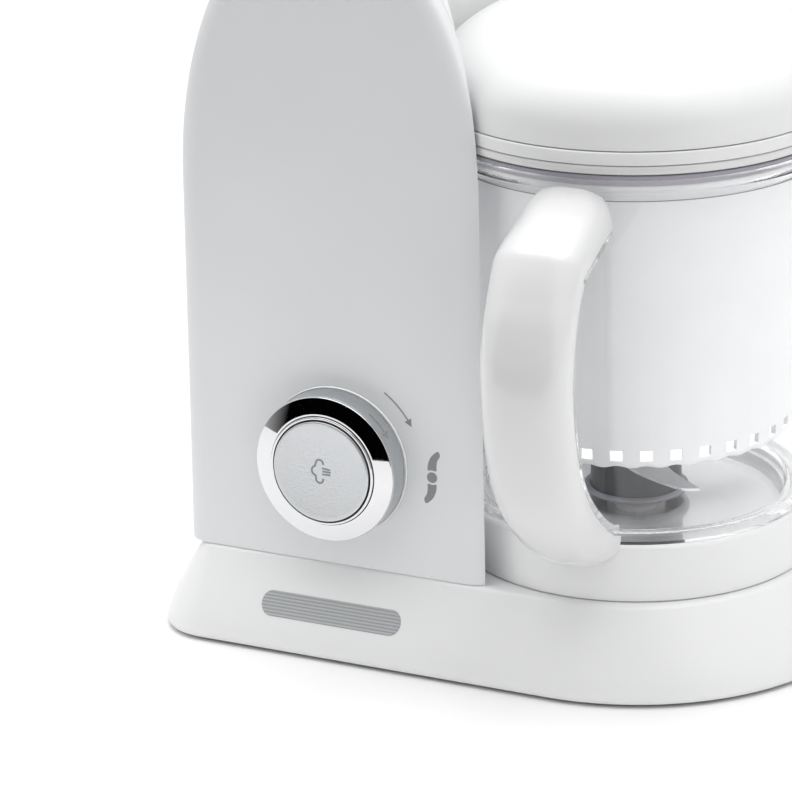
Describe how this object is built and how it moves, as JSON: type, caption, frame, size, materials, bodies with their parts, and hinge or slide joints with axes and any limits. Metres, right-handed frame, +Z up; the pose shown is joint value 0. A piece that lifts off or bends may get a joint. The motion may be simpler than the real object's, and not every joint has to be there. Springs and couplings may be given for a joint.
{
  "type": "baby food maker",
  "caption": "Countertop steamer and blender: arched tower with a chrome-rimmed control knob beside a clear lidded jug with a curved handle, both on a flared base.",
  "frame": {"origin": "centre of the bounding box's footprint, on the surface the rubber feet stand on", "axes": "+X to the right along the front from the tower to the jug, +Y towards the back, +Z up"},
  "size_m": [0.2424, 0.2082, 0.3],
  "materials": {
    "white_abs": "smooth semi-gloss moulded white",
    "panel_abs": "smooth semi-gloss, very light cool grey",
    "light_ring": "translucent light guide",
    "satin_silver": "satin brushed",
    "chrome": "mirror",
    "clear_tritan": "clear, polished",
    "frosted_basket": "frosted translucent",
    "dark_grey_hub": "satin dark grey",
    "blade_steel": "ground and polished",
    "steel": "brushed",
    "cast_aluminium": "as cast",
    "rubber": "matte",
    "seal_silicone": "matte silicone",
    "dark_nylon": "moulded",
    "circuit_board": "lacquered"
  },
  "bodies": {
    "root": {"base_shell": "white_abs", "bottom_cover": "white_abs", "foot_front_left": "rubber", "foot_front_right": "rubber", "foot_rear_left": "rubber", "foot_rear_right": "rubber", "cover_screw_1": "steel", "cover_screw_2": "steel", "cover_screw_3": "steel", "cover_screw_4": "steel", "jug_pedestal": "white_abs", "tower_shell": "white_abs", "front_panel": "panel_abs", "mains_gland": "rubber", "water_tank": "steel", "heating_element": "cast_aluminium", "thermostat": "dark_nylon", "tank_neck": "white_abs", "steam_pipe": "rubber", "steam_gasket": "rubber", "dial_ring": "light_ring", "rotary_switch": "dark_nylon", "control_board": "circuit_board", "button_spring": "steel", "motor_can": "steel", "drive_belt": "rubber", "spindle_bearing": "cast_aluminium"},
    "rotor": {"rotor_shaft": "steel", "motor_pulley": "dark_nylon"},
    "spindle": {"spindle_shaft": "steel", "spindle_pulley": "dark_nylon", "drive_dog": "dark_nylon"},
    "knob": {"knob_body": "satin_silver", "knob_bezel": "chrome", "knob_inner_ring": "satin_silver", "knob_shaft": "dark_nylon"},
    "button": {"steam_button": "satin_silver", "button_stem": "dark_nylon"},
    "cap": {"cap_plug": "white_abs", "cap_seal": "rubber"},
    "cap_grip": {"cap_grip": "white_abs"},
    "jug": {"jug_bowl": "clear_tritan", "handle_frame": "clear_tritan", "handle_cover": "white_abs", "blade_bushing": "rubber"},
    "blade": {"drive_socket": "dark_nylon", "blade_shaft": "steel", "blade_hub": "dark_grey_hub", "blade_lower": "blade_steel", "blade_upper": "blade_steel", "blade_nut": "steel"},
    "basket": {"steam_basket": "frosted_basket"},
    "lid": {"lid_dome": "white_abs", "lid_liner": "white_abs", "lid_seal": "seal_silicone", "steam_inlet": "rubber", "lid_knob": "white_abs"},
    "lock_ring": {"lid_lock_ring": "white_abs"}
  },
  "joints": [
    {"name": "jug_lift", "type": "slide", "parent": "root", "child": "jug", "axis": [0, 0, 1], "range_m": [0, 0.3]},
    {"name": "lid_lift", "type": "slide", "parent": "jug", "child": "lid", "axis": [0, 0, 1], "range_m": [0, 0.2]},
    {"name": "lock_ring_turn", "type": "hinge", "parent": "lid", "child": "lock_ring", "pos_m": [0.03885, 0.02182, 0.1973], "axis": [0, 0, 1], "range_deg": [0, 25]},
    {"name": "basket_lift", "type": "slide", "parent": "jug", "child": "basket", "axis": [0, 0, 1], "range_m": [0, 0.131]},
    {"name": "spindle_turn", "type": "hinge", "parent": "root", "child": "spindle", "pos_m": [0.03885, 0.02182, 0.02], "axis": [0, 0, 1], "continuous": true},
    {"name": "motor_turn", "type": "hinge", "parent": "root", "child": "rotor", "pos_m": [-0.07015, 0.02182, 0.02], "axis": [0, 0, 1], "continuous": true},
    {"name": "blade_turn", "type": "hinge", "parent": "jug", "child": "blade", "pos_m": [0.03885, 0.02182, 0.06], "axis": [0, 0, 1], "continuous": true},
    {"name": "knob_turn", "type": "hinge", "parent": "root", "child": "knob", "pos_m": [-0.04835, -0.04598, 0.0732], "axis": [0, 1, 0], "range_deg": [0, 45], "stiffness_Nm_per_rad": 0.06},
    {"name": "button_press", "type": "slide", "parent": "root", "child": "button", "axis": [0, 1, 0], "range_m": [0, 0.0015], "stiffness_N_per_m": 900},
    {"name": "cap_lift", "type": "slide", "parent": "root", "child": "cap", "axis": [0, 0, 1], "range_m": [0, 0.05]},
    {"name": "cap_turn", "type": "hinge", "parent": "cap", "child": "cap_grip", "pos_m": [-0.05765, 0.02182, 0.28], "axis": [0, 0, 1], "range_deg": [0, 120]}
  ],
  "couplings": [
    {"joint": "basket_lift", "follows": "lid_lift", "ratio": 0.65},
    {"joint": "blade_turn", "follows": "spindle_turn", "ratio": 1},
    {"joint": "motor_turn", "follows": "spindle_turn", "ratio": 3.5}
  ]
}
